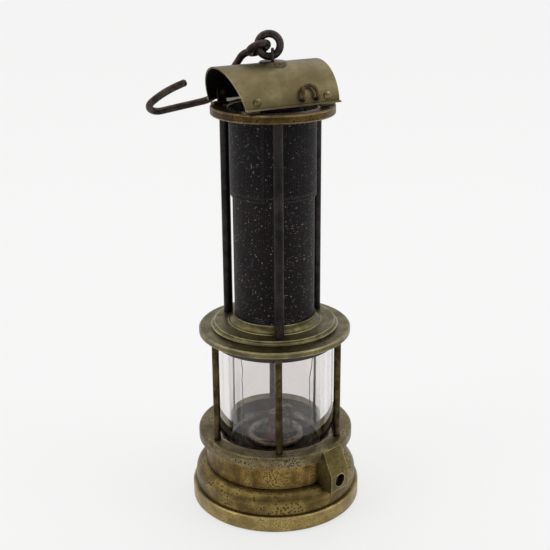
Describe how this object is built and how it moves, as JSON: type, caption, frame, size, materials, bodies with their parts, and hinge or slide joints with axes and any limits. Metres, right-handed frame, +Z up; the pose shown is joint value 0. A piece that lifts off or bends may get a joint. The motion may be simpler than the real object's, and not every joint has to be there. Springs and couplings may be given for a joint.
{
  "type": "miner's flame safety lamp",
  "caption": "Tall miner's flame safety lamp: round oil font, glass cylinder in a pillar cage, tall wire gauze, open bent hood, hanging ring and open hook.",
  "frame": {"origin": "lamp axis at the plane the foot stands on", "axes": "+Z up along the lamp axis, -Y is the front with the two middle pillars, the hook hangs to -X"},
  "size_m": [0.1059, 0.088, 0.2425],
  "materials": {
    "font_brass": "tarnished spun brass, pitted and worn bright along its edges",
    "plain_brass": "old turned brass, unpolished",
    "cast_brass": "cast and turned brass, pitted",
    "cage_brass": "turned brass, handled and dull",
    "pillar_brass": "drawn brass rod, dull",
    "burner_iron": "sooted sheet iron",
    "burner_wire": "grey wire, sooted",
    "copper_tube": "heat-reddened brass tube",
    "cotton": "woven cotton, charred at its end",
    "leather": "oiled leather washer",
    "packing": "compressed packing, dark",
    "clear_glass": "thick clear blown and ground glass",
    "gauze_iron": "woven iron wire gauze, oiled and lightly rusted",
    "pillar_iron": "drawn iron rod, dark with worn highlights",
    "forged_iron": "forged iron, dark with worn highlights",
    "screw_iron": "dark iron screw",
    "hood_brass": "rolled brass sheet, grey-brown tarnish",
    "rivet_brass": "brass rivets, worn",
    "loop_wire": "brown drawn wire"
  },
  "bodies": {
    "font": {"foot_ring": "font_brass", "font_shell": "font_brass", "font_floor": "plain_brass", "burner_plate": "burner_iron", "burner_bead": "burner_wire", "wick_tube": "copper_tube", "wick": "cotton", "pricker_guide": "plain_brass"},
    "pricker": {"pricker": "burner_wire"},
    "washer": {"font_washer": "leather"},
    "cage": {"lower_ring": "cast_brass", "lock_lug": "cast_brass", "lower_pillars": "pillar_brass", "glass": "clear_glass", "glass_packing": "packing", "gauze_seat": "plain_brass", "inner_gauze": "gauze_iron", "gauze_cap": "gauze_iron", "middle_ring": "cage_brass", "upper_pillars": "pillar_iron", "crown_ring": "cage_brass", "hood_feet": "hood_brass", "foot_rivets": "rivet_brass", "hood": "hood_brass", "hood_rivets": "rivet_brass", "hood_loop": "loop_wire", "swivel_pad": "hood_brass"},
    "lock": {"lock_screw": "screw_iron"},
    "swivel": {"swivel_stem": "forged_iron", "swivel_burr": "rivet_brass"},
    "ring": {"suspension_ring": "forged_iron"},
    "hook": {"hook": "forged_iron"}
  },
  "joints": [
    {"name": "washer_rise", "type": "slide", "parent": "font", "child": "washer", "axis": [0, 0, 1], "range_m": [0, 0.011]},
    {"name": "cage_unscrew", "type": "hinge", "parent": "washer", "child": "cage", "pos_m": [0, 0, 0.031], "axis": [0, 0, 1], "range_deg": [0, 2160]},
    {"name": "lock_back_off", "type": "slide", "parent": "cage", "child": "lock", "axis": [0.7071, -0.7071, 0], "range_m": [0, 0.005]},
    {"name": "pricker_slide", "type": "slide", "parent": "font", "child": "pricker", "axis": [0, 0, 1], "range_m": [0, 0.008]},
    {"name": "swivel_turn", "type": "hinge", "parent": "cage", "child": "swivel", "pos_m": [0, 0, 0.2266], "axis": [0, 0, 1], "range_deg": [-70, 2]},
    {"name": "ring_swing", "type": "hinge", "parent": "swivel", "child": "ring", "pos_m": [0, 0, 0.23055], "axis": [1, 0, 0], "range_deg": [0, 50]},
    {"name": "hook_round_ring", "type": "hinge", "parent": "ring", "child": "hook", "pos_m": [-0.0016, 0, 0.2355], "axis": [0, 1, 0], "range_deg": [0, 105]}
  ],
  "couplings": [
    {"joint": "washer_rise", "follows": "cage_unscrew", "m_per_rad": 0.00028648}
  ]
}
